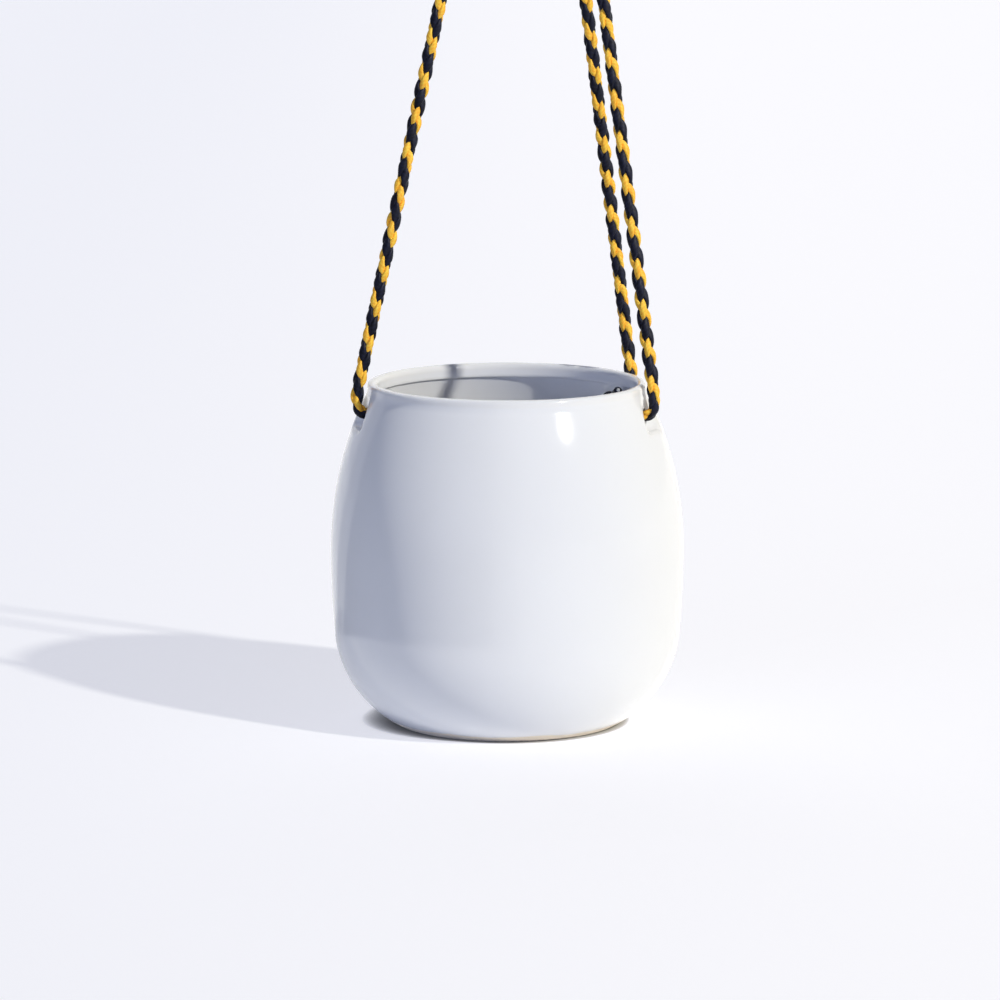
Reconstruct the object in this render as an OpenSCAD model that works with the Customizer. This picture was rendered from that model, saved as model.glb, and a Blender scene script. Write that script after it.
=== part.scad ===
// Hanging planter: a glazed pot carried by three braided cords that meet in a
// whipped gathering, a cord loop and a steel ring. Millimetres, +Z up, and the
// origin is the point at the top inside of the ring where a hook carries it.
// The single cord is on the -X side, the other two are on the +X side.

/* [Pot] */
// Height of the pot from its foot to the crest of its lip
pot_h = 122.4; // [116:0.2:150]
// Diameter of the belly at its widest
pot_d = 126; // [122:1:152]
// Height of the widest place above the foot
belly_z = 62; // [55:1:66]
// Radius of the arc from the belly down to the heel
flank_arc = 340; // [250:5:420]
// Radius of the heel's round
heel_arc = 40; // [34:1:46]
// Diameter of the foot that the pot stands on
foot_d = 80; // [70:1:88]
// Thickness of the wall
wall = 3; // [2.5:0.1:3.6]

/* [Lip] */
// Outer diameter of the lip
lip_d = 99.2; // [96:0.2:99.6]
// Thickness of the lip's round bead
lip_t = 3.6; // [3:0.1:4.4]
// Height of the collar, from the crest of the lip to its lower edge
collar_h = 5; // [4:0.1:6]
// Distance that the shoulder's upper edge stands in from the lip's outer edge
shoulder_tuck = 0.5; // [0.2:0.1:1]
// Radius of the shoulder's round under the lip
shoulder_round = 1.2; // [0.6:0.1:1.6]

/* [Foot] */
// Width of the foot ring's unglazed face
foot_ring_w = 6; // [4:0.5:8]
// Depth of the hollow under the pot
foot_hollow = 2; // [1:0.25:3]
// Thickness of the floor over that hollow
floor_t = 4; // [3:0.25:6]

/* [Cord pockets] */
// Angle of each of the pair of pockets either side of +X
pair_angle = 24; // [18:0.5:40]
// Radius of the round wall of a pocket
pocket_r = 12; // [9:0.5:14]
// Distance from the lip's outer edge out to the back of a pocket
pocket_back = 0.4; // [0.2:0.1:1.5]
// Round between a pocket's wall and its ledge
pocket_round = 2.5; // [1.5:0.25:3.5]
// Depth of a hole's centre below the crest of the lip
hole_drop = 10.9; // [9.5:0.1:13]
// Height of a hole's lower edge above the pocket's ledge
ledge_drop = 2; // [1:0.25:4]
// Difference in diameter between a hole and the cord in it
hole_gap = 0.6; // [0.4:0.1:1.5]

/* [Cords] */
// Diameter of a braided cord
cord_d = 5.4; // [4.5:0.1:6.5]
// Width of the face round its hole that a knot bears on
knot_bearing = 1; // [0.8:0.1:1.5]
// Length of that knot along the hole
knot_l = 5; // [4:0.25:6]
// Diameter of the cut tail that stands out of a knot
tail_d = 3.2; // [2.4:0.1:3.6]
// Clearance between a knot and the wall that it bears on
knot_gap = 0.3; // [0.1:0.05:0.4]

/* [Gathering] */
// Height of the gathering's lower end above the pot's foot
gather_z = 401; // [395:1:402]
// Distance that the gathering stands off the pot's axis, towards the pair
gather_x = 11.5; // [0:0.5:14]
// Turn of the four lengths of cord round the gathering's axis
gather_turn = 12; // [0:1:30]
// Height of the whipping round the cords
wrap_h = 24; // [20:1:26]
// Diameter of the thin cord that the whipping is wound from
whip_d = 1.6; // [1.2:0.1:2]
// Distance between two cords that lie side by side in the gathering
cord_gap = 0.3; // [0.2:0.05:0.5]

/* [Ring] */
// Inner diameter of the ring
ring_id = 25; // [22:0.5:32]
// Thickness of the ring's wire
ring_wire = 3; // [2.5:0.25:3.5]
// Clearance between the wire and the loop that hangs on it
ring_gap = 0.4; // [0.3:0.05:0.6]

/* [Hidden] */
$fn = 96;

// Angles of the three pockets, seen from above
left_angle = 180;
front_right_angle = -pair_angle;
rear_right_angle = pair_angle;
pocket_angles = [left_angle, front_right_angle, rear_right_angle];

// Lip, shoulder and collar
lip_r = lip_t / 2;
lip_centre = lip_d / 2 - lip_r;
mouth_r = lip_d / 2 - lip_t;
shoulder_z = pot_h - lip_r - 0.8;
collar_z = pot_h - collar_h;

// The arc from the belly up to the shoulder starts upright and ends at the
// shoulder's edge, so its radius follows from how far in and how far up that is
shoulder_in = pot_d / 2 - lip_d / 2 + shoulder_tuck;
shoulder_up = shoulder_z - belly_z;
shoulder_arc = (pow(shoulder_in, 2) + pow(shoulder_up, 2)) / (2 * shoulder_in);

// Centres of the arcs of the outside, as [distance from the axis, height]
shoulder_c = [pot_d / 2 - shoulder_arc, belly_z];
flank_c = [pot_d / 2 - flank_arc, belly_z];
heel_c = touching(flank_c, flank_arc - heel_arc, [foot_d / 2, 0], heel_arc);
heel_z = flank_c[1] + (heel_c[1] - flank_c[1]) * flank_arc / (flank_arc - heel_arc);
round_z = shoulder_z - shoulder_round;
round_c = [shoulder_c[0] + sqrt(pow(shoulder_arc - shoulder_round, 2) - pow(round_z - belly_z, 2)), round_z];
round_top = belly_z + (round_z - belly_z) * shoulder_arc / (shoulder_arc - shoulder_round);

floor_z = foot_hollow + floor_t;
hole_d = cord_d + hole_gap;
hole_z = pot_h - hole_drop;
ledge_z = hole_z - hole_d / 2 - ledge_drop;
pocket_floor = lip_d / 2 + pocket_back;

// Where a knot bears on the inside of a pocket's wall
knot_seat = pocket_floor - wall - knot_gap;
knot_d = hole_d + 2 * knot_bearing;
knot_edge = 1.6;
tail_end = [-3.5, -10.5, 5.7];

// Four lengths of cord stand round the gathering's axis, each at its place
left_place = 180 + gather_turn;
front_right_place = gather_turn;
rear_right_place = 90 + gather_turn;
return_place = 270 + gather_turn;
wrap_top = gather_z + wrap_h;
cut_end = 3;
pack_r = (cord_d + cord_gap) / sqrt(2);
wrap_bore = pack_r + cord_d / 2 + cord_gap;

// A cord's way from its knot out of the hole and up past the lip, as [distance
// out from the pocket's back, height above the hole's centre]
climb = [[knot_seat - pocket_floor, 0], [-0.2, 0], [1.6, 0.4], [3, 1.6], [3.7, 3.4], [3.9, 5.5], [3.4, 9.5]];
rise_steps = 16;
// One side of the loop above the gathering, as [y, height above the whipping]
loop_side = [[4.6, 5], [6.8, 11.5], [9.4, 17.5], [10.8, 24], [9.4, 29.4], [5.4, 33.4]];
loop_top = 34.8;

wire_z = wrap_top + loop_top - cord_d / 2 - ring_gap - ring_wire / 2;
ring_r = (ring_id + ring_wire) / 2;
hang_z = wire_z + ring_wire / 2 + ring_id;

// Upper of the two points at distance ra from a and rb from b
function touching(a, ra, b, rb) =
    let (
        d = norm(b - a),
        along = (ra * ra - rb * rb + d * d) / (2 * d),
        off = sqrt(ra * ra - along * along),
        e = (b - a) / d
    )
    a + along * e + off * [-e[1], e[0]];

function unit(v) = v / norm(v);
function heading(p, i) = unit(p[min(i + 1, len(p) - 1)] - p[max(i - 1, 0)]);
// One direction square to the path at each point, carried along without twist
function sides(p, side = [0.1, 0.2, 1], i = 0) =
    i == len(p) ? [] :
    let (t = heading(p, i), s = unit(side - (side * t) * t))
    concat([s], sides(p, s, i + 1));

// Points from a to b, without a itself
function straight(a, b, n) = [for (i = [1:n]) a + (b - a) * i / n];
function climb_at(angle) = [for (p = climb)
    let (r = pocket_floor + p[0]) [r * cos(angle), r * sin(angle), hole_z + p[1]]];
function packed(place, z) = [gather_x + pack_r * cos(place), pack_r * sin(place), z];
function rise(angle, place) =
    let (low = climb_at(angle))
    concat(low, straight(low[len(low) - 1], packed(place, gather_z), rise_steps), [packed(place, wrap_top)]);
function loop_path() = concat(
    [for (p = loop_side) [gather_x, p[0], wrap_top + p[1]]],
    [[gather_x, 0, wrap_top + loop_top]],
    [for (i = [len(loop_side) - 1:-1:0]) [gather_x, -loop_side[i][0], wrap_top + loop_side[i][1]]]
);

// A round tube swept along a path, closed at both ends
module tube(path, d, n = 10) {
    s = sides(path);
    m = len(path);
    points = [for (i = [0:m - 1]) let (t = heading(path, i), u = cross(t, s[i]))
        for (k = [0:n - 1]) path[i] + d / 2 * (cos(360 * k / n) * s[i] + sin(360 * k / n) * u)];
    walls = [for (i = [0:m - 2], k = [0:n - 1])
        let (a = i * n + k, b = i * n + (k + 1) % n)
        each [[a, a + n, b], [b, a + n, b + n]]];
    ends = [[for (k = [0:n - 1]) k], [for (k = [n - 1:-1:0]) (m - 1) * n + k]];
    polyhedron(points, concat(walls, ends));
}

// Half of the pot's outline, moved inwards by t, between two heights
module outline(t, low, high) {
    intersection() {
        translate(shoulder_c) circle(shoulder_arc - t);
        translate([0, belly_z]) square([pot_d, high - belly_z]);
    }
    intersection() {
        translate(flank_c) circle(flank_arc - t);
        translate([0, heel_z]) square([pot_d, belly_z - heel_z]);
    }
    intersection() {
        translate(heel_c) circle(heel_arc - t);
        translate([0, low]) square([pot_d, heel_z - low]);
    }
    translate([0, low]) square([heel_c[0], heel_z - low]);
}

// A rectangle that starts on the axis, with its outer corners rounded
module rounded_half(r, h, edge_low, edge_high) {
    square([r - max(edge_low, edge_high), h]);
    translate([0, edge_low]) square([r, h - edge_low - edge_high]);
    if (edge_low > 0) translate([r - edge_low, edge_low]) circle(edge_low);
    if (edge_high > 0) translate([r - edge_high, h - edge_high]) circle(edge_high);
}

// Upright round cutter for a pocket, moved outwards by t, with its lower edge rounded
module pocket_tool(t) {
    translate([pocket_floor + pocket_r, 0, ledge_z - t])
        rotate_extrude() rounded_half(pocket_r + t, pot_h - ledge_z, pocket_round + t, 0);
}

module at_pockets() {
    for (angle = pocket_angles) rotate(angle) children();
}

// Solid of revolution inside the outline, with the lip, the mouth and the foot ring
module pot_blank() {
    rotate_extrude() difference() {
        union() {
            outline(0, 0, round_top);
            translate([0, (heel_z + belly_z) / 2]) square([round_c[0], shoulder_z - (heel_z + belly_z) / 2]);
            translate(round_c) circle(shoulder_round);
            translate([lip_centre, pot_h - lip_r]) circle(lip_r);
        }
        translate([0, collar_z - 1]) square([mouth_r, pot_h - lip_r - collar_z + 1]);
        square([foot_d / 2 - foot_ring_w, foot_hollow]);
    }
}

// The hollow follows the outside at one wall's distance, round the pockets too
module pot_hollow() {
    difference() {
        rotate_extrude() outline(wall, floor_z, collar_z);
        at_pockets() pocket_tool(wall);
    }
}

module pot() color("white") difference() {
    pot_blank();
    pot_hollow();
    at_pockets() {
        pocket_tool(0);
        translate([pocket_floor - 2 * wall, 0, hole_z]) rotate([0, 90, 0]) cylinder(d = hole_d, h = 3 * wall);
    }
}

// A cord's end, knotted inside the pot, with its cut tail
module stopper_knot() color("midnightblue") {
    span = norm(tail_end);
    translate([knot_seat, 0, hole_z]) {
        rotate([0, -90, 0]) rotate_extrude() rounded_half(knot_d / 2, knot_l, knot_edge, knot_edge);
        translate([-knot_l / 2, 0, 0])
            rotate([0, acos(tail_end[2] / span), atan2(tail_end[1], tail_end[0])]) {
                cylinder(d = tail_d, h = span);
                translate([0, 0, span]) sphere(d = tail_d);
            }
    }
}

module cord_left() color("goldenrod")
    tube(concat(rise(left_angle, left_place), [packed(left_place, wrap_top + cut_end)]), cord_d);

module cord_front_right() color("goldenrod")
    tube(concat(rise(front_right_angle, front_right_place), [packed(front_right_place, wrap_top + cut_end)]), cord_d);

// This cord goes on over the ring and back down into the whipping
module cord_rear_right() color("goldenrod")
    tube(concat(rise(rear_right_angle, rear_right_place), loop_path(),
        [packed(return_place, wrap_top), packed(return_place, gather_z + cut_end)]), cord_d);

module knot_left() rotate(left_angle) stopper_knot();
module knot_front_right() rotate(front_right_angle) stopper_knot();
module knot_rear_right() rotate(rear_right_angle) stopper_knot();

// Turns of thin cord wound side by side round the four lengths of cord
module gathering_wrap() color("midnightblue") {
    turns = round(wrap_h / whip_d);
    pitch = (wrap_h - whip_d) / (turns - 1);
    translate([gather_x, 0, gather_z]) rotate_extrude() {
        for (i = [0:turns - 1]) translate([wrap_bore + whip_d / 2, whip_d / 2 + i * pitch]) circle(d = whip_d);
        translate([wrap_bore, whip_d / 2]) square([whip_d / 2, wrap_h - whip_d]);
    }
}

module hanging_ring() color("silver")
    translate([gather_x, 0, wire_z + ring_r]) rotate([90, 0, 0])
        rotate_extrude() translate([ring_r, 0]) circle(d = ring_wire);

// Puts the place where a hook carries the ring at the origin
module hung() translate([-gather_x, 0, -hang_z]) children();

hung() pot();
hung() cord_left();
hung() cord_front_right();
hung() cord_rear_right();
hung() knot_left();
hung() knot_front_right();
hung() knot_rear_right();
hung() gathering_wrap();
hung() hanging_ring();
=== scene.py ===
"""Looks of the hanging planter: a glazed pot on three braided cords, their knots, the whipping and the ring.

Everything is in metres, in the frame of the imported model: +Z up, with the origin at the top inside of the
ring. Sizes named in millimetres are multiplied by MM. The pot's own frame has its foot at height 0 and its
axis at x = y = 0, and from_pot() brings points from there into the model's frame.
"""

import bpy
import numpy as np
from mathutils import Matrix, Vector


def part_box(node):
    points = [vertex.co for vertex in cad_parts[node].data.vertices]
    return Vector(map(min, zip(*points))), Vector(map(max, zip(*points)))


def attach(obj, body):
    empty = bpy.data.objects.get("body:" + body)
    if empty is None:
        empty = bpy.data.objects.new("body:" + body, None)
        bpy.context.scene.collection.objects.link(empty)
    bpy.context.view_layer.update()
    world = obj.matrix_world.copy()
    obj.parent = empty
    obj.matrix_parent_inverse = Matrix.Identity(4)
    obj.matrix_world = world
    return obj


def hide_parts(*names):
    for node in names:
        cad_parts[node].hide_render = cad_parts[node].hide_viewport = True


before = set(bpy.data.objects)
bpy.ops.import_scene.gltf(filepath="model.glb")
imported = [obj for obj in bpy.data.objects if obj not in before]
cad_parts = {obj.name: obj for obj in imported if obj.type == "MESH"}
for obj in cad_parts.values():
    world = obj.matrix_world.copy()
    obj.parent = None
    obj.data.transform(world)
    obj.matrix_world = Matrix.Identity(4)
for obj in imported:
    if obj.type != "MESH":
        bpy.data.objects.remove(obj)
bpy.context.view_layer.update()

MM = 0.001
TAU = 2 * np.pi

# ---------------------------------------------------------------- sizes and places
# The pot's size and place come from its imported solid; the rest repeats the part's own sizes
pot_low, pot_high = (np.array(corner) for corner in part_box("pot"))
POT_D = pot_high[1] - pot_low[1]
POT_H = pot_high[2] - pot_low[2]
POT_PLACE = np.array([(pot_low[0] + pot_high[0]) / 2, 0.0, pot_low[2]])

# The outline: the belly's height, the flank's and heel's arcs, the foot and its ring, the floor and the wall
BELLY_Z = 62 * MM
FLANK_ARC = 340 * MM
HEEL_ARC = 40 * MM
FOOT_R = 40 * MM
FOOT_RING_W = 6 * MM
FOOT_HOLLOW = 2 * MM
FLOOR_T = 4 * MM
WALL = 3 * MM

# The lip is a bead, with a collar hanging inside it
LIP_OUTER_R = 49.6 * MM
LIP_R = 1.8 * MM
LIP_CENTRE = LIP_OUTER_R - LIP_R
MOUTH_R = LIP_OUTER_R - 2 * LIP_R
COLLAR_H = 5 * MM
# The shoulder ends this far inside the lip's side, at this height
SHOULDER_TUCK = 0.5 * MM
SHOULDER_Z = POT_H - LIP_R - 0.8 * MM
# The glazed lip's outer edge: its radius, and how far the glaze's own top lies under the bead's
LIP_EDGE = 1.2 * MM
LIP_SINK = 0.12 * MM
# The glaze fills the hollow under the lip between these heights, and rounds every corner of the section
FILL_FROM = POT_H - 5.2 * MM
FILL_TO = POT_H - 2.2 * MM
GLAZE_EASE = 0.4 * MM

# The pockets: one on the left, and a pair on the right
LEFT, FRONT_RIGHT, REAR_RIGHT = POCKET_ANGLES = np.radians([180, -24, 24])
POCKET_R = 12 * MM
POCKET_BACK = LIP_OUTER_R + 0.4 * MM
POCKET_ROUND = 2.5 * MM
LEDGE_Z = POT_H - 15.9 * MM
HOLE_Z = POT_H - 10.9 * MM
HOLE_D = 6 * MM
# Where the wall takes the pockets' shape: how round their edges are, and the lowest and highest rows
PRESSED_OUTSIDE = np.array([1.6, 95, 117.3]) * MM
PRESSED_INSIDE = np.array([2.4, 90, 116.4]) * MM

CORD_D = 5.4 * MM
# Strands of the braid: how far from its middle they lie outside and inside, their width and their thickness
YELLOW_STRAND = np.array([1.75, 0.45, 2.45, 1.6]) * MM
NAVY_STRAND = np.array([1.5, 0.5, 3.15, 2.1]) * MM
# The braids' lie is measured from this length of cord, in steps of this length
BRAID_MIDDLE = 90 * MM
BRAID_STEP = 80 * MM
# The hole squeezes the braid by this share, less and less over this length
SQUEEZE = 0.2
SQUEEZE_REACH = 12 * MM
KNOT_SEAT = POCKET_BACK - WALL - 0.3 * MM
KNOT_D = 8 * MM
KNOT_L = 5 * MM
TAIL_D = 3.2 * MM
# Knots are drawn a little thinner than their solids, and show this share of a tail's width as its core
KNOT_CORD = 0.94 * TAIL_D
CORE_SHARE = 0.45
# A direction that no length of the knot or its tail runs along
KNOT_LEAN = (1.0, 0.2, 0.1)
TAIL_END = np.array([-3.5, -10.5, 5.7]) * MM

# The gathering: its place, the whipping, and how the four lengths of cord are packed in it
GATHER_X = -POT_PLACE[0]
GATHER_Z = 401 * MM
WRAP_H = 24 * MM
WRAP_TOP = GATHER_Z + WRAP_H
WHIP_D = 1.6 * MM
CORD_GAP = 0.3 * MM
# How far a cord's cut end stands out of the whipping, or lies inside it
CUT_END = 3 * MM
PACK_R = (CORD_D + CORD_GAP) / np.sqrt(2)
WRAP_BORE = PACK_R + CORD_D / 2 + CORD_GAP
RING_R = 14 * MM
RING_WIRE = 3 * MM


def from_pot(points):
    """Points of the pot's own frame, moved into the model's frame."""
    return np.asarray(points, float) + POT_PLACE


# ---------------------------------------------------------------- camera
CAMERA_TURN = np.radians(9)
CAMERA_PITCH = np.radians(9.4)
CAMERA_DISTANCE = 1.9168
CAMERA_LENS = 193.5
# The point that the camera looks at: a little left of the pot's axis, above its belly
AIM_SIDE = -2.5 * MM
AIM_HEIGHT = 79.5 * MM


def make_camera():
    """A long lens a little above the pot, turned towards +X."""
    ahead = np.array([np.sin(CAMERA_TURN), np.cos(CAMERA_TURN), 0])
    right = np.array([ahead[1], -ahead[0], 0])
    aim = from_pot(AIM_SIDE * right + [0, 0, AIM_HEIGHT])
    back = [0, 0, CAMERA_DISTANCE * np.sin(CAMERA_PITCH)] - CAMERA_DISTANCE * np.cos(CAMERA_PITCH) * ahead
    camera = bpy.data.objects.new("camera", bpy.data.cameras.new("camera"))
    camera.data.lens = CAMERA_LENS
    camera.location = aim + back
    camera.rotation_euler = (np.pi / 2 - CAMERA_PITCH, 0, -CAMERA_TURN)
    bpy.context.collection.objects.link(camera)
    bpy.context.scene.camera = camera


# ---------------------------------------------------------------- curves and surfaces
def arc(centre, radius, start, end, count):
    """Points of a circle from one angle to another, in radians."""
    a = np.linspace(start, end, count)
    return np.stack([centre[0] + radius * np.cos(a), centre[1] + radius * np.sin(a)], axis=-1)


def lengths(points):
    """Distance along a line of points, from its start to each point."""
    steps = np.linalg.norm(np.diff(points, axis=0), axis=1)
    return np.concatenate([[0], np.cumsum(steps)])


def spaced(points, count, density=None):
    """count points along a line, evenly spaced, or closer where density (a function of a point) is high."""
    along = lengths(points)
    if density is not None:
        weight = density(points)
        share = (weight[1:] + weight[:-1]) / 2 * np.diff(along)
        along = np.concatenate([[0], np.cumsum(share)])
    at = np.linspace(0, along[-1], count)
    return np.stack([np.interp(at, along, points[:, k]) for k in range(points.shape[1])], axis=-1)


def eased(points, reach, step):
    """The line with its corners rounded: each point is the mean of those within reach, by a Hann window."""
    line = spaced(points, int(lengths(points)[-1] / step) + 2)
    n = int(reach / step)
    window = np.hanning(2 * n + 3)[1:-1]
    window /= window.sum()
    ahead = line[-1] + np.outer(np.arange(1, n + 1), line[-1] - line[-2])
    before = line[0] + np.outer(np.arange(n, 0, -1), line[0] - line[1])
    padded = np.concatenate([before, line, ahead])
    columns = [np.convolve(padded[:, k], window, "valid") for k in range(line.shape[1])]
    return np.stack(columns, axis=-1)


def unit(v):
    """v at length 1."""
    return v / np.linalg.norm(v, axis=-1, keepdims=True)


def directions(path, reference):
    """Unit vectors along a path, across it (reference made square to it) and square to both."""
    along = unit(np.gradient(path, axis=0))
    reference = np.broadcast_to(reference, path.shape)
    across = unit(reference - (reference * along).sum(1, keepdims=True) * along)
    return along, across, np.cross(along, across)


def tube(path, reference, width, height, sides=12, swell=1.0):
    """An oval carried along a path. Point = path + swell * (width/2 cos v across + height/2 sin v square).
    Returns the grid of points and its UV: metres along the path, and the share of a turn round it."""
    _, across, square = directions(path, reference)
    v = TAU * np.arange(sides) / sides
    size = np.broadcast_to(swell, len(path))[:, None, None] / 2
    flat = width * np.cos(v)[None, :, None] * across[:, None]
    ring = flat + height * np.sin(v)[None, :, None] * square[:, None]
    uv = np.stack(np.broadcast_arrays(lengths(path)[:, None], np.arange(sides + 1)[None] / sides), axis=-1)
    return path[:, None] + size * ring, uv


def rounded_ends(path, radius, start=True, end=True, least=0.1):
    """How wide a tube is along its path, from least to 1, where its ends are rounded off within radius."""
    along = lengths(path)
    near = np.minimum(along if start else np.inf, along[-1] - along if end else np.inf)
    share = np.clip(1 - near / radius, 0, 1)
    return np.sqrt(np.maximum(1 - share**2, least**2))


def closed_grid(points):
    """Faces of a grid of rings, closed round each ring and by one face over each end ring."""
    rings, sides = points.shape[:2]
    i = np.arange(rings - 1)[:, None] * sides
    j = np.arange(sides)[None]
    k = (j + 1) % sides
    quads = np.stack([i + j, i + k, i + sides + k, i + sides + j], axis=-1).reshape(-1, 4)
    first = np.arange(sides)[::-1]
    last = (rings - 1) * sides + np.arange(sides)
    return quads, first, last


def make_piece(name, grids, materials, body, stands_for=()):
    """One mesh from grids of (points, uv, material number), riding on a body."""
    vertices, corners, starts, finishes, maps = [], [], [], [], []
    offset, corner = 0, 0
    for points, uv, finish in grids:
        quads, first, last = closed_grid(points)
        rings, sides = points.shape[:2]
        i = np.repeat(np.arange(rings - 1), sides)
        j = np.tile(np.arange(sides), rings - 1)
        quad_uv = np.stack([uv[i, j], uv[i, j + 1], uv[i + 1, j + 1], uv[i + 1, j]], axis=1)
        vertices.append(points.reshape(-1, 3))
        corners.append(np.concatenate([quads.ravel(), first, last]) + offset)
        starts.append(corner + np.concatenate([4 * np.arange(len(quads) + 1), [4 * len(quads) + sides]]))
        finishes.append(np.full(len(quads) + 2, finish))
        maps.append(np.concatenate([quad_uv.reshape(-1, 2), uv[0, :sides][::-1], uv[-1, :sides]]))
        offset += rings * sides
        corner += 4 * len(quads) + 2 * sides
    mesh = bpy.data.meshes.new(name)
    mesh.vertices.add(offset)
    mesh.vertices.foreach_set("co", np.concatenate(vertices).astype(np.float32).ravel())
    mesh.loops.add(corner)
    mesh.loops.foreach_set("vertex_index", np.concatenate(corners).astype(np.int32))
    all_starts = np.concatenate(starts)
    mesh.polygons.add(len(all_starts))
    mesh.polygons.foreach_set("loop_start", all_starts.astype(np.int32))
    mesh.polygons.foreach_set("material_index", np.concatenate(finishes).astype(np.int32))
    mesh.polygons.foreach_set("use_smooth", np.ones(len(all_starts), bool))
    mesh.uv_layers.new(name="UVMap").data.foreach_set("uv", np.concatenate(maps).astype(np.float32).ravel())
    mesh.update(calc_edges=True)
    mesh.validate()
    for material in materials:
        mesh.materials.append(material)
    piece = bpy.data.objects.new(name, mesh)
    bpy.context.collection.objects.link(piece)
    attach(piece, body)
    if stands_for:
        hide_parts(*stands_for)
    return piece


# ---------------------------------------------------------------- shader helpers
class Nodes:
    """A short way to add and join the nodes of one tree."""

    def __init__(self, tree):
        self.tree = tree

    def put(self, kind, inputs=(), **settings):
        """Adds a node; inputs are values or sockets by name or number, and settings its properties."""
        node = self.tree.nodes.new(kind)
        for key, value in settings.items():
            setattr(node, key, value)
        for key, value in dict(inputs).items():
            if isinstance(value, bpy.types.NodeSocket):
                self.tree.links.new(value, node.inputs[key])
            else:
                node.inputs[key].default_value = value
        return node

    def math(self, operation, a, b=0.0, c=0.0):
        """One sum of a, b and c."""
        return self.put("ShaderNodeMath", {0: a, 1: b, 2: c}, operation=operation).outputs[0]

    def vector(self, operation, a, b=(0.0, 0.0, 0.0)):
        """The node for one sum of the vectors a and b."""
        return self.put("ShaderNodeVectorMath", {0: a, 1: b}, operation=operation)

    def mix(self, share, a, b):
        """Colour a where share is 0, and b where it is 1."""
        node = self.put("ShaderNodeMix", {"Factor": share}, data_type="RGBA")
        for key, value in {6: a, 7: b}.items():
            if isinstance(value, bpy.types.NodeSocket):
                self.tree.links.new(value, node.inputs[key])
            else:
                node.inputs[key].default_value = value
        return node.outputs[2]

    def stepped(self, value, low, high, to_low=0.0, to_high=1.0):
        """value's smooth step from low to high, as to_low to to_high."""
        inputs = {"Value": value, "From Min": low, "From Max": high, "To Min": to_low, "To Max": to_high}
        return self.put("ShaderNodeMapRange", inputs, interpolation_type="SMOOTHSTEP").outputs[0]

    def noise(self, vector, scale, detail=2.0, roughness=0.5):
        """Soft noise from 0 to 1, with scale cells to a unit of vector."""
        inputs = {"Vector": vector, "Scale": scale, "Detail": detail, "Roughness": roughness}
        return self.put("ShaderNodeTexNoise", inputs).outputs["Fac"]

    def stretched(self, vector, scale):
        """vector, scaled in each direction by its own number."""
        return self.put("ShaderNodeMapping", {"Vector": vector, "Scale": scale}).outputs[0]


def new_material(name):
    """A material with its Principled shader. Returns (material, nodes, shader)."""
    material = bpy.data.materials.new(name)
    material.use_nodes = True
    return material, Nodes(material.node_tree), material.node_tree.nodes["Principled BSDF"]


def fibre_group():
    """Shader group: spun thread that runs along UV's first direction, and turns round as it goes.
    It puts out the colour, with painted shade that makes it deeper in the grooves between plies, its roughness
    and the height of its fibres."""
    group = bpy.data.node_groups.new("spun_fibre", "ShaderNodeTree")
    face = group.interface
    for name, way, kind in (
        ("Deep", "INPUT", "Color"), ("Bright", "INPUT", "Color"), ("Turns", "INPUT", "Float"),
        ("Color", "OUTPUT", "Color"), ("Roughness", "OUTPUT", "Float"), ("Height", "OUTPUT", "Float"),
    ):
        face.new_socket(name, in_out=way, socket_type=f"NodeSocket{kind}")
    n = Nodes(group)
    given = n.put("NodeGroupInput")
    uv = n.put("ShaderNodeTexCoord").outputs["UV"]
    parts = n.put("ShaderNodeSeparateXYZ", {0: uv})
    along, round_ = parts.outputs[0], parts.outputs[1]
    # Plies: bands that run round the strand and along it, Turns bands to a metre, and their mirror image
    lean = n.math("MULTIPLY_ADD", along, given.outputs["Turns"], n.math("MULTIPLY", round_, 4.0))
    ply = n.math("SINE", n.math("MULTIPLY", lean, TAU))
    mirror = n.math("SUBTRACT", lean, n.math("MULTIPLY", round_, 8.0))
    cross = n.math("SINE", n.math("MULTIPLY", mirror, TAU))
    fibres = n.noise(n.stretched(uv, (900.0, 26.0, 1.0)), 1.0, 3.0, 0.6)
    blotches = n.noise(n.stretched(uv, (160.0, 2.0, 1.0)), 1.0, 2.0)
    weave = n.math("MULTIPLY_ADD", ply, 0.16, n.math("MULTIPLY", cross, 0.16))
    height = n.math("ADD", weave, fibres)
    # Painted shade: the colour is deeper in the grooves between plies and fibres and brighter on their ridges;
    # it also varies in random blotches
    tone_and_groove_shade = n.stepped(n.math("MULTIPLY_ADD", blotches, 0.6, n.math("MULTIPLY", height, 0.5)), 0.25, 0.8)
    colour = n.mix(tone_and_groove_shade, given.outputs["Deep"], given.outputs["Bright"])
    rough = n.stepped(fibres, 0.2, 0.8, 0.42, 0.62)
    n.put("NodeGroupOutput", {"Color": colour, "Roughness": rough, "Height": height})
    return group


def thread_material(name, group, deep, bright, turns, bump):
    """Satin cord of one colour, from the spun fibre group."""
    material, n, shader = new_material(name)
    fibre = n.put("ShaderNodeGroup", node_tree=group)
    fibre.inputs["Deep"].default_value = (*deep, 1)
    fibre.inputs["Bright"].default_value = (*bright, 1)
    fibre.inputs["Turns"].default_value = turns
    raised = {"Height": fibre.outputs["Height"], "Strength": bump, "Distance": 0.1 * MM}
    relief = n.put("ShaderNodeBump", raised)
    links = material.node_tree.links
    links.new(fibre.outputs["Color"], shader.inputs["Base Color"])
    links.new(fibre.outputs["Roughness"], shader.inputs["Roughness"])
    links.new(relief.outputs[0], shader.inputs["Normal"])
    shader.inputs["Sheen Weight"].default_value = 0.05
    shader.inputs["Sheen Roughness"].default_value = 0.4
    shader.inputs["Specular IOR Level"].default_value = 0.2
    return material


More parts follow.
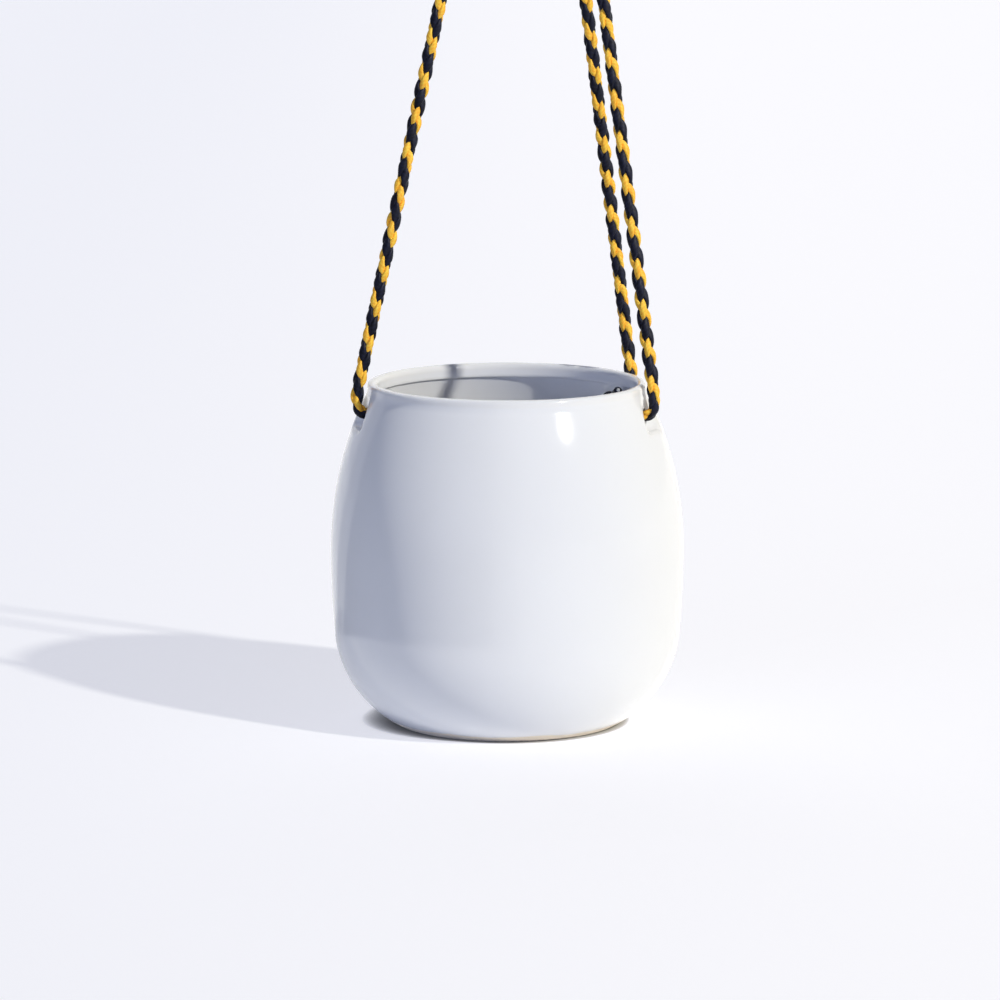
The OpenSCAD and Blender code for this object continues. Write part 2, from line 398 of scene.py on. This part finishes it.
def glaze_material():
    """White gloss glaze with a few iron specks, thinner and warmer on edges, and bare clay at the foot."""
    material, n, shader = new_material("white_glaze")
    place = n.put("ShaderNodeTexCoord").outputs["Object"]
    at_pot = n.put("ShaderNodeMapping", {"Vector": place, "Location": tuple(-POT_PLACE)}).outputs[0]
    height = n.put("ShaderNodeSeparateXYZ", {0: at_pot}).outputs[2]
    thin = n.put("ShaderNodeAttribute", attribute_name="thin").outputs["Fac"]

    # Iron specks: one cell in thirty or so has one, of its own size
    cells = n.put("ShaderNodeTexVoronoi", {"Vector": at_pot, "Scale": 190.0, "Randomness": 1.0})
    pick = n.put("ShaderNodeSeparateXYZ", {0: cells.outputs["Color"]}).outputs[0]
    size = n.stepped(pick, 0.97, 1.0, 0.0, 0.11)
    speck = n.stepped(n.math("SUBTRACT", size, cells.outputs["Distance"]), 0.0, 0.02)
    cloud = n.noise(at_pot, 28.0, 3.0)
    # The glaze itself, a little warmer where it runs thin over edges
    body = n.mix(cloud, (0.83, 0.84, 0.885, 1), (0.865, 0.875, 0.915, 1))
    edged = n.mix(n.math("MULTIPLY", thin, 0.35), body, (0.84, 0.82, 0.78, 1))
    glazed = n.mix(speck, edged, (0.09, 0.07, 0.06, 1))

    # The glaze stops a little above the foot, at an uneven line
    wander = n.noise(at_pot, 45.0, 3.0)
    stop = n.math("MULTIPLY_ADD", wander, 2.6 * MM, 1.2 * MM)
    bare = n.stepped(n.math("SUBTRACT", stop, height), -0.1 * MM, 0.15 * MM)
    grit = n.noise(at_pot, 900.0, 4.0, 0.7)
    clay = n.mix(grit, (0.74, 0.65, 0.54, 1), (0.9, 0.82, 0.71, 1))
    colour = n.mix(bare, glazed, clay)
    rough = n.math("MULTIPLY_ADD", bare, 0.6, n.stepped(cloud, 0.3, 0.7, 0.07, 0.11))

    ripple = n.noise(at_pot, 60.0, 2.0)
    relief = n.math("MULTIPLY_ADD", ripple, 0.6, n.math("MULTIPLY", grit, bare))
    step = n.math("SUBTRACT", relief, n.math("MULTIPLY", bare, 1.5))
    bump = n.put("ShaderNodeBump", {"Height": step, "Strength": 0.35, "Distance": 0.15 * MM})
    links = material.node_tree.links
    links.new(colour, shader.inputs["Base Color"])
    links.new(rough, shader.inputs["Roughness"])
    links.new(bump.outputs[0], shader.inputs["Normal"])
    shader.inputs["Diffuse Roughness"].default_value = 0.6
    return material


def steel_material():
    """Nickel plated wire, drawn lengthwise, a little dull where hands and hooks rub it."""
    material, n, shader = new_material("nickel_wire")
    uv = n.put("ShaderNodeTexCoord").outputs["UV"]
    drawn = n.noise(n.stretched(uv, (60.0, 40.0, 1.0)), 1.0, 4.0, 0.7)
    smudge = n.noise(n.stretched(uv, (70.0, 2.0, 1.0)), 1.0, 2.0)
    links = material.node_tree.links
    plating = n.mix(smudge, (0.62, 0.6, 0.56, 1), (0.78, 0.77, 0.74, 1))
    links.new(plating, shader.inputs["Base Color"])
    links.new(n.stepped(smudge, 0.3, 0.7, 0.2, 0.38), shader.inputs["Roughness"])
    bump = n.put("ShaderNodeBump", {"Height": drawn, "Strength": 0.25, "Distance": 0.03 * MM})
    links.new(bump.outputs[0], shader.inputs["Normal"])
    shader.inputs["Metallic"].default_value = 1.0
    return material


# ---------------------------------------------------------------- cords
# A cord's way from its knot out of the hole and up past the lip: distance out from the pocket's back,
# and height above the hole's centre, in millimetres
CLIMB = [(-3.3, 0), (-0.2, 0), (1.6, 0.4), (3, 1.6), (3.7, 3.4), (3.9, 5.5), (3.4, 9.5)]
# One side of the loop above the gathering: y, and height above the whipping
LOOP_SIDE = [(4.6, 5), (6.8, 11.5), (9.4, 17.5), (10.8, 24), (9.4, 29.4), (5.4, 33.4)]
LOOP_TOP = 34.8
# Places of the four lengths of cord round the gathering's axis
LEFT_PLACE, FRONT_RIGHT_PLACE, REAR_RIGHT_PLACE, RETURN_PLACE = np.radians([192, 12, 102, 282])


def packed(place, z):
    """A point at height z on the length of cord that has this place in the gathering."""
    return [GATHER_X + PACK_R * np.cos(place), PACK_R * np.sin(place), z]


def rise(angle, place):
    """A cord's points from its knot, up past the lip, and straight to its place in the gathering."""
    way = np.array([np.cos(angle), np.sin(angle), 0])
    climb = [(POCKET_BACK + out * MM) * way + [0, 0, HOLE_Z + up * MM] for out, up in CLIMB]
    return [*climb, packed(place, GATHER_Z), packed(place, WRAP_TOP)]


def loop_over_ring():
    """The rear right cord's points above the gathering: over the ring's wire, and down into the whipping."""
    up = [(GATHER_X, y * MM, WRAP_TOP + z * MM) for y, z in LOOP_SIDE]
    down = [(x, -y, z) for x, y, z in up[::-1]]
    return [*up, (GATHER_X, 0, WRAP_TOP + LOOP_TOP * MM), *down]


def cord_path(points):
    """A cord's points as one smooth line in the model's frame."""
    return eased(from_pot(points), 2.4 * MM, 0.3 * MM)


def powers(t, terms):
    """terms[0] + terms[1] t + terms[2] t^2 and so on."""
    return np.polyval(terms[::-1], t)


def braid(path, angle, winding, facing):
    """Four soft satin strands braided round a path by hand, a little tighter in some places than in others.

    With t the length from BRAID_MIDDLE in BRAID_STEPs, w is the sum of winding's terms times powers of t,
    which goes on evenly past t = 1, and e1 and e2, square to the path and to each other, are turned by
    facing's sum.
    Strand one stands at a cos w e1 + b sin w e2 and strand two opposite, and strand three at b cos w e1 -
    a sin w e2 and strand four opposite. The two pairs wind against each other, and each lies outside, at a,
    where the other passes inside, at b. A strand is flattened across the direction in which it winds.
    Near the hole everything is squeezed by 1 - SQUEEZE exp(-(length / SQUEEZE_REACH)^2).
    """
    t = (lengths(path) - BRAID_MIDDLE) / BRAID_STEP
    inner = np.minimum(t, 1)
    w = powers(inner, winding) + (t - inner) * powers(1, np.arange(1, len(winding)) * winding[1:])
    turn = powers(inner, facing)[:, None]
    side = np.array([-np.sin(angle), np.cos(angle), 0])
    _, across, square = directions(path, side)
    e1 = np.cos(turn) * across + np.sin(turn) * square
    e2 = np.cos(turn) * square - np.sin(turn) * across
    squeeze = 1 - SQUEEZE * np.exp(-((lengths(path) / SQUEEZE_REACH) ** 2))
    grids = []
    for over, half, finish in ((1, 0, 0), (1, np.pi, 1), (-1, 0, 0), (-1, np.pi, 1)):
        out, within, wide, thick = NAVY_STRAND if finish else YELLOW_STRAND
        c, d = np.cos(w + half)[:, None], over * np.sin(w + half)[:, None]
        x, y = (out, within) if over > 0 else (within, out)
        centre = path + squeeze[:, None] * (x * c * e1 + y * d * e2)
        # Ends die away inside the knot, the whipping or each other
        swell = squeeze * rounded_ends(centre, 1.2 * MM)
        grids.append((*tube(centre, c * e1 + d * e2, thick, wide, 16, swell), finish))
    return grids


def make_cord(side, points, angle, winding, facing):
    """One braid along its points, from its knot to its end."""
    path = cord_path(points)
    strands = braid(path, angle, winding, facing)
    cord = make_piece(f"braid_{side}", strands, [yellow, navy], "planter", (f"cord_{side}",))

# ---------------------------------------------------------------- knots and whipping
def make_knot(side, angle):
    """An overhand knot drawn tight against the pot's wall, with its cut tail.

    The knot's line is x = (2 + cos 3t) cos 2t, y = (2 + cos 3t) sin 2t, z = sin 3t, scaled to the CAD knot.
    """
    t = np.linspace(0, TAU, 220)
    span = (KNOT_D - KNOT_CORD) / 2
    flat = span * (2 + np.cos(3 * t)) / 3
    depth = (KNOT_L - KNOT_CORD) / 2 * np.sin(3 * t)
    middle = np.array([KNOT_SEAT - KNOT_L / 2, 0, HOLE_Z])
    line = middle + np.stack([depth, flat * np.cos(2 * t), flat * np.sin(2 * t)], axis=-1)
    tail = spaced(np.array([middle, middle + TAIL_END]), 24)
    grids = []
    for path, whole in ((line, True), (tail, False)):
        swell = 1.0 if whole else rounded_ends(path, 0.35 * MM, start=False, least=0.65)
        points, uv = tube(path, KNOT_LEAN, KNOT_CORD, KNOT_CORD, 14, swell)
        grids.append((points, uv, 0))
    # The core stands a hair out of the tail's cut end
    inner = tail[-1] + np.linspace(-0.6, 0.07, 4)[:, None] * MM * unit(TAIL_END)
    grids.append((*tube(inner, KNOT_LEAN, CORE_SHARE * KNOT_CORD, CORE_SHARE * KNOT_CORD, 14), 1))
    turn = np.array([[np.cos(angle), np.sin(angle), 0], [-np.sin(angle), np.cos(angle), 0], [0, 0, 1]])
    grids = [(from_pot(points @ turn), uv, finish) for points, uv, finish in grids]
    return make_piece(f"tied_knot_{side}", grids, [navy, core], "planter", (f"knot_{side}",))


def make_whipping():
    """Thin cord wound round the braids: a helix of radius r whose height grows by one thickness a turn."""
    turns = round(WRAP_H / WHIP_D)
    t = np.linspace(0, turns - 0.5, turns * 72)
    r = WRAP_BORE + WHIP_D / 2
    z = WHIP_D / 2 + t * (WRAP_H - WHIP_D) / (turns - 0.5)
    line = from_pot(np.stack([GATHER_X + r * np.cos(TAU * t), r * np.sin(TAU * t), GATHER_Z + z], axis=-1))
    # The turns press on each other, so each is a little taller than its pitch
    points, uv = tube(line, (0.0, 0.0, 1.0), WHIP_D * 1.04, WHIP_D, 10, rounded_ends(line, WHIP_D / 2))
    grids = [(points, uv, 0)]
    return make_piece("gathering_whipping", grids, [waxed], "planter", ("gathering_wrap",))


def make_ring():
    """A torus of wire round the Y direction: RING_WIRE thick at RING_R, with the weld's low bead on it."""
    t = np.linspace(0, TAU, 181)
    centre = np.array([0, 0, RING_WIRE / 2 - RING_R])
    weld = 1 + 0.05 * np.exp(-(((t - TAU / 4 - 0.9) * RING_R / (1.1 * MM)) ** 2))
    path = centre + RING_R * np.stack([np.cos(t), 0 * t, np.sin(t)], axis=-1)
    points, uv = tube(path, (0.0, 1.0, 0.0), RING_WIRE, RING_WIRE, 28, weld)
    make_piece("steel_ring", [(points, uv, 0)], [steel_material()], "ring", ("hanging_ring",))


# ---------------------------------------------------------------- pot
def shoulder_arc():
    """Radius and centre of the arc from the upright belly in to the shoulder's edge."""
    inward = POT_D / 2 - LIP_OUTER_R + SHOULDER_TUCK
    up = SHOULDER_Z - BELLY_Z
    radius = (inward**2 + up**2) / (2 * inward)
    return radius, np.array([POT_D / 2 - radius, BELLY_Z])


def heel_centre():
    """Centre of the heel's arc: it touches the flank's arc from inside and passes through the foot's edge."""
    flank = np.array([POT_D / 2 - FLANK_ARC, BELLY_Z])
    foot = np.array([FOOT_R, 0.0])
    near = FLANK_ARC - HEEL_ARC
    d = np.linalg.norm(foot - flank)
    along = (near**2 - HEEL_ARC**2 + d**2) / (2 * d)
    e = (foot - flank) / d
    return flank + along * e + np.sqrt(near**2 - along**2) * np.array([-e[1], e[0]])


def body_line(inset, low, high):
    """The pot's outline from one height up to another, moved in by inset: heel, flank and shoulder arcs."""
    heel = heel_centre()
    flank = np.array([POT_D / 2 - FLANK_ARC, BELLY_Z])
    meet = np.arctan2(heel[1] - flank[1], heel[0] - flank[0])
    radius, shoulder = shoulder_arc()
    return np.concatenate([
        arc(heel, HEEL_ARC - inset, np.arcsin((low - heel[1]) / (HEEL_ARC - inset)), meet, 60),
        arc(flank, FLANK_ARC - inset, meet, 0, 60)[1:],
        arc(shoulder, radius - inset, 0, np.arcsin((high - BELLY_Z) / (radius - inset)), 90)[1:],
    ])


def pot_outline():
    """The pot's whole section, from the middle of its underside, round the lip, to the middle of its floor.

    Under the lip, from the shoulder at P up to the lip's side at R, the glaze fills the hollow with a parabola,
    (1 - t)^2 P + 2 t (1 - t) Q + t^2 R, where Q is the place at which the shoulder's line meets the lip's side.
    """
    radius, shoulder = shoulder_arc()
    lean = np.arcsin((FILL_FROM - BELLY_Z) / radius)
    p = shoulder + radius * np.array([np.cos(lean), np.sin(lean)])
    q = np.array([LIP_OUTER_R, p[1] + (p[0] - LIP_OUTER_R) / np.tan(lean)])
    r = np.array([LIP_OUTER_R, FILL_TO])
    t = np.linspace(0, 1, 24)[1:, None]
    outside = np.concatenate([
        [(0, FOOT_HOLLOW), (FOOT_R - FOOT_RING_W, FOOT_HOLLOW), (FOOT_R - FOOT_RING_W, 0)],
        body_line(0, 0, FILL_FROM),
        (1 - t) ** 2 * p + 2 * t * (1 - t) * q + t**2 * r,
        arc((LIP_OUTER_R - LIP_EDGE, POT_H - LIP_EDGE - LIP_SINK), LIP_EDGE, 0, np.radians(78), 12),
    ])
    inside = np.concatenate([
        arc((LIP_CENTRE, POT_H - LIP_R), LIP_R, np.radians(90), np.radians(180), 14),
        [(MOUTH_R, POT_H - COLLAR_H)],
        body_line(WALL, FOOT_HOLLOW + FLOOR_T, POT_H - COLLAR_H)[::-1],
        [(0, FOOT_HOLLOW + FLOOR_T)],
    ])
    crest = lengths(outside)[-1]
    return np.concatenate([outside, inside]), crest


def blended_max(a, b, reach):
    """The larger of a and b, with the corner between them rounded: max(a, b) + h^2 / 4 reach."""
    h = np.maximum(reach - np.abs(a - b), 0)
    return np.maximum(a, b) + h**2 / (4 * reach), h / reach


def pocket_distance(points, angle, grown):
    """Signed distance to one pocket's upright round cutter with a rounded lower edge, grown outwards."""
    x = points[..., 0] * np.cos(angle) + points[..., 1] * np.sin(angle) - POCKET_BACK - POCKET_R
    y = points[..., 1] * np.cos(angle) - points[..., 0] * np.sin(angle)
    side = np.hypot(x, y) - POCKET_R + POCKET_ROUND
    down = LEDGE_Z + POCKET_ROUND - points[..., 2]
    outside = np.hypot(np.maximum(side, 0), np.maximum(down, 0))
    return outside + np.minimum(np.maximum(side, down), 0) - POCKET_ROUND - grown


def wall_distance(points, inset):
    """Signed distance to the shoulder's surface of revolution, moved in by inset."""
    radius, shoulder = shoulder_arc()
    out = np.hypot(points[..., 0], points[..., 1]) - shoulder[0]
    return np.hypot(out, points[..., 2] - shoulder[1]) - radius + inset


def pressed(points, inset, reach, share):
    """Moves points of the wall towards the middle of the belly, onto the wall with the pockets pressed in.

    Along the line from that middle C to a point P, the surface is where f(C + k (P - C)) = 0, with f the
    rounded maximum of the wall's distance and the pockets' distances turned inside out. k is found by halving.
    """
    centre = np.array([0, 0, BELLY_Z])

    def f(at):
        value, edge = wall_distance(at, inset), 0
        for angle in POCKET_ANGLES:
            value, near = blended_max(value, -pocket_distance(at, angle, inset), reach)
            edge = np.maximum(edge, near)
        return value, edge

    low, high = np.full(points.shape[:-1], 0.7), np.full(points.shape[:-1], 1.02)
    for _ in range(26):
        middle = (low + high) / 2
        over = f(centre + middle[..., None] * (points - centre))[0] > 0
        low, high = np.where(over, low, middle), np.where(over, middle, high)
    moved = centre + low[..., None] * (points - centre)
    edge = f(moved)[1]
    return points + share[..., None] * (moved - points), edge * share


def smooth_step(x, low, high):
    """0 below low, 1 above high, and t^2 (3 - 2t) between them."""
    t = np.clip((x - low) / (high - low), 0, 1)
    return t * t * (3 - 2 * t)


def pot_columns(count):
    """Angles round the pot, closer where the pockets are."""
    fine = np.linspace(0, TAU, 4000)
    from_pockets = np.angle(np.exp(1j * (fine - POCKET_ANGLES[:, None])))
    near = np.exp(-((from_pockets / np.radians(15)) ** 6)).sum(0)
    share = np.concatenate([[0], np.cumsum((1 + 4 * near)[:-1])])
    return np.interp(np.arange(count) * share[-1] / count, share, fine)


def make_pot():
    """The pot: its section turned round the axis, with the pockets pressed in and the holes bored.

    A point is (r cos theta, r sin theta, z), with r and z along the section. The attribute thin is high on
    edges, where the glaze runs thin.
    """
    section, crest = pot_outline()
    line = eased(section, GLAZE_EASE, 0.1 * MM)
    fine = spaced(
        np.concatenate([line, lengths(line)[:, None]], axis=1), 190,
        lambda p: 1 + 5 * smooth_step(p[:, 1], 96 * MM, 104 * MM) + 3 * smooth_step(-p[:, 1], -4 * MM, 0),
    )
    r, z, along = fine[1:-1].T
    theta = pot_columns(440)
    x, y = np.cos(theta) * r[:, None], np.sin(theta) * r[:, None]
    points = np.stack(np.broadcast_arrays(x, y, z[:, None]), axis=-1)
    outer = along < crest
    thin = np.zeros(points.shape[:2])
    for side, inset, (reach, low, high) in ((outer, 0.0, PRESSED_OUTSIDE), (~outer, WALL, PRESSED_INSIDE)):
        rows = side & (z > low) & (z < high + MM)
        share = smooth_step(-z[rows], -high - MM, -high)[:, None] * np.ones(len(theta))
        points[rows], thin[rows] = pressed(points[rows], inset, reach, share)
    thin += (np.hypot(r - LIP_CENTRE, z - POT_H + LIP_R) < LIP_R * 1.05)[:, None] * 0.5
    # The glaze reads places, so its map is blank
    grids = [(from_pot(points), np.zeros((len(r), len(theta) + 1, 2)), 0)]
    pot = make_piece("glazed_pot", grids, [glaze_material()], "planter", ("pot",))
    edges = pot.data.attributes.new("thin", "FLOAT", "POINT")
    edges.data.foreach_set("value", thin.astype(np.float32).ravel())
    bore_holes(pot)


def bore_holes(pot):
    """Cuts the three round holes for the cords through the pockets' walls."""
    t = np.linspace(POCKET_BACK - 2 * WALL, POCKET_BACK + WALL, 4)
    for angle in POCKET_ANGLES:
        way = np.array([np.cos(angle), np.sin(angle), 0])
        path = from_pot(t[:, None] * way + [0, 0, HOLE_Z])
        points, uv = tube(path, (0.0, 0.0, 1.0), HOLE_D, HOLE_D, 48)
        cutter = make_piece("cutter", [(points, uv, 0)], [], "planter")
        cut = pot.modifiers.new("hole", "BOOLEAN")
        cut.operation, cut.solver, cut.object = "DIFFERENCE", "EXACT", cutter
        bpy.context.view_layer.objects.active = pot
        bpy.ops.object.modifier_apply(modifier=cut.name)
        bpy.data.objects.remove(cutter)
    pot.data.set_sharp_from_angle(angle=np.radians(50))


# ---------------------------------------------------------------- surroundings
# The lamps: turned to the right of the camera's side, above the floor, and how wide they are
KEY_TURN = np.radians(50.5)
KEY_HEIGHT = np.radians(34.5)
KEY_SPREAD = np.radians(2.5)
FILL_TURN = np.radians(-30)
FILL_HEIGHT = np.radians(5)
FILL_SPREAD = np.radians(40)
BACK_TURN = np.radians(190)
BACK_HEIGHT = np.radians(14)
BACK_SPREAD = np.radians(60)
PALE = (0.92, 0.92, 0.945, 1)
FLOOR_HALF = 60.0
# A painted reflection: the dim side of the room, a darker patch of floor and sky that only shows as it is
# mirrored in the glaze: its middle, its half width, its half width with the half dim strip, and how far from the
# pot it starts
DIM_TURN = np.radians(-65)
DIM_HALF = np.radians(56)
DIM_EDGE = np.radians(71)
DIM_FROM = 170 * MM


def towards(turn):
    """Level unit vector from the pot, turned to the right of the camera's side."""
    way = turn - CAMERA_TURN - np.pi / 2
    return np.array([np.cos(way), np.sin(way), 0])


def component(n, place, turn):
    """How far a place lies towards one side of the pot."""
    return n.vector("DOT_PRODUCT", place, tuple(towards(turn))).outputs["Value"]


def shown_share(n, rays, dim, depth):
    """1 for what the camera sees, 1 less depth where it is dim for what is mirrored, and 0 for light itself.

    Returns the mirrored rays' mask and that share.
    """
    mirrored = n.math("MAXIMUM", rays["Is Glossy Ray"], rays["Is Transmission Ray"])
    shown = n.math("MULTIPLY", mirrored, n.math("SUBTRACT", 1.0, n.math("MULTIPLY", dim, depth)))
    return mirrored, n.math("MAXIMUM", rays["Is Camera Ray"], shown)


def dim_side(n, place):
    """1 on the room's dim side, with a half dim strip along its edge, and 0 elsewhere."""
    level = n.vector("NORMALIZE", n.vector("MULTIPLY", place, (1, 1, 0)).outputs[0]).outputs[0]
    across = component(n, level, DIM_TURN)
    inside, strip = (
        n.stepped(across, np.cos(half) - 0.01, np.cos(half) + 0.01) for half in (DIM_HALF, DIM_EDGE)
    )
    return n.math("MULTIPLY_ADD", inside, 0.6, n.math("MULTIPLY", strip, 0.4))


def make_floor():
    """A wide pale floor at the height of the pot's foot. It looks paler than the light that it sends back. Its
    glow carries painted shade under the heel and towards the left, and mirrored rays see a painted dark patch on
    the room's dim side.
    """
    mesh = bpy.data.meshes.new("floor")
    corners = FLOOR_HALF * np.array([(-1, -1, 0), (1, -1, 0), (1, 1, 0), (-1, 1, 0)])
    mesh.from_pydata(corners.tolist(), [], [(0, 1, 2, 3)])
    floor = bpy.data.objects.new("floor", mesh)
    floor.location = POT_PLACE
    bpy.context.collection.objects.link(floor)
    material, n, shader = new_material("pale_floor")
    place = n.put("ShaderNodeTexCoord").outputs["Object"]
    distance = n.vector("LENGTH", place).outputs["Value"]
    far = n.stepped(distance, DIM_FROM - 5 * MM, DIM_FROM + 5 * MM)
    dim = n.math("MULTIPLY", dim_side(n, place), far)
    rays = n.put("ShaderNodeLightPath").outputs
    mirrored, shown = shown_share(n, rays, dim, 0.85)
    # Painted shade: under the pot's rounded heel the floor's glow is darkened by ambient occlusion, more widely
    # on the side away from the main lamp
    reach = n.stepped(component(n, place, KEY_TURN), -40 * MM, 20 * MM, 7 * MM, 2 * MM)
    sky = n.put("ShaderNodeAmbientOcclusion", {"Distance": reach}, samples=8).outputs["AO"]
    open_sky = n.math("POWER", sky, 2.0)
    # Painted shade: the floor's own glow is a little greyer towards the left
    right = n.stepped(component(n, place, np.pi / 2), -0.35, 0.2)
    ramp = n.mix(right, (0.96, 0.98, 1.11, 1), (1.13, 1.13, 1.21, 1))
    lit = n.mix(rays["Is Camera Ray"], (0.94, 0.94, 0.95, 1), (0.4, 0.4, 0.4, 1))
    # Painted reflection: mirrored rays see the floor nearly black on the room's dim side, beyond DIM_FROM
    colour = n.mix(n.math("MULTIPLY", mirrored, dim), lit, (0.06, 0.06, 0.07, 1))
    glow = n.mix(rays["Is Camera Ray"], PALE, ramp)
    strength = n.math("MULTIPLY", n.math("MULTIPLY", shown, open_sky), 0.6)
    links = material.node_tree.links
    links.new(colour, shader.inputs["Base Color"])
    links.new(glow, shader.inputs["Emission Color"])
    links.new(strength, shader.inputs["Emission Strength"])
    shader.inputs["Roughness"].default_value = 0.8
    shader.inputs["Specular IOR Level"].default_value = 0.1
    mesh.materials.append(material)


def make_light():
    """A sun for the main lamp, two wide weak ones to fill, and a dim sky that looks as pale as the floor, with a
    painted darker reflection on the room's dim side.
    """
    world = bpy.data.worlds.new("world")
    bpy.context.scene.world = world
    world.use_nodes = True
    n = Nodes(world.node_tree)
    sky = world.node_tree.nodes["Background"]
    # Painted reflection: mirrored rays see the sky darker on the room's dim side
    dim = dim_side(n, n.put("ShaderNodeTexCoord").outputs["Generated"])
    _, shown = shown_share(n, n.put("ShaderNodeLightPath").outputs, dim, 0.8)
    world.node_tree.links.new(n.mix(shown, (0.02, 0.02, 0.02, 1), PALE), sky.inputs["Color"])
    add_sun("key", 2.85, KEY_TURN, KEY_HEIGHT, KEY_SPREAD, (1.0, 0.975, 0.88))
    fill = add_sun("fill", 1.2, FILL_TURN, FILL_HEIGHT, FILL_SPREAD, (0.52, 0.64, 1.0))
    back = add_sun("back_fill", 0.9, BACK_TURN, BACK_HEIGHT, BACK_SPREAD, (0.86, 0.9, 1.0))
    # The fills stand for light from pale walls, which the glaze mirrors as pale everywhere
    fill.visible_glossy = False
    back.visible_glossy = False


def add_sun(name, power, turn, height, spread, colour):
    """A distant lamp that shines from one side and height, as wide as spread."""
    data = bpy.data.lights.new(name, "SUN")
    data.energy = power
    data.angle = spread
    data.color = colour
    lamp = bpy.data.objects.new(name, data)
    way = np.cos(height) * towards(turn) + [0, 0, np.sin(height)]
    lamp.rotation_euler = Vector(way).to_track_quat("Z", "Y").to_euler()
    bpy.context.collection.objects.link(lamp)
    return lamp


# ---------------------------------------------------------------- the scene
bpy.context.scene.view_settings.view_transform = "Standard"
make_camera()

fibre = fibre_group()
yellow = thread_material("yellow_satin", fibre, (0.95, 0.41, 0.034), (1.0, 0.67, 0.085), 500.0, 0.5)
navy = thread_material("navy_satin", fibre, (0.002, 0.0025, 0.007), (0.009, 0.011, 0.03), 500.0, 0.5)
waxed = thread_material("navy_waxed_cord", fibre, (0.004, 0.005, 0.012), (0.02, 0.024, 0.055), 700.0, 0.8)

core = thread_material("pale_core", fibre, (0.3, 0.32, 0.36), (0.6, 0.62, 0.66), 500.0, 0.5)

whipping = make_whipping()
knots = [
    make_knot(side, angle) for side, angle in zip(("left", "front_right", "rear_right"), POCKET_ANGLES)
]
# Each braid's points, its winding and facing, and the pieces on it
cut_top = WRAP_TOP + CUT_END
make_cord(
    "left", [*rise(LEFT, LEFT_PLACE), packed(LEFT_PLACE, cut_top)], LEFT,
    np.array([48.12, 39.94, -0.27, -0.32, 0.15]), np.array([1.9, 3.22, 0.09, -1.78, 0.93]),
)
make_cord(
    "front_right", [*rise(FRONT_RIGHT, FRONT_RIGHT_PLACE), packed(FRONT_RIGHT_PLACE, cut_top)], FRONT_RIGHT,
    np.array([41.69, 33.15, 0.21, 2.55, -0.34]), np.array([-0.18, -0.67, 1.01, 0.12, -2]),
)
# The rear right braid goes on over the ring, and back down into the whipping
back_down = [packed(RETURN_PLACE, WRAP_TOP), packed(RETURN_PLACE, GATHER_Z + CUT_END)]
make_cord(
    "rear_right", [*rise(REAR_RIGHT, REAR_RIGHT_PLACE), *loop_over_ring(), *back_down], REAR_RIGHT,
    np.array([45.61, 40.02, 1.2, -2.26, -0.52]), np.array([2.64, 2.29, 0.07, -2.1, 0.37]),
)
make_ring()
make_pot()
make_floor()
make_light()
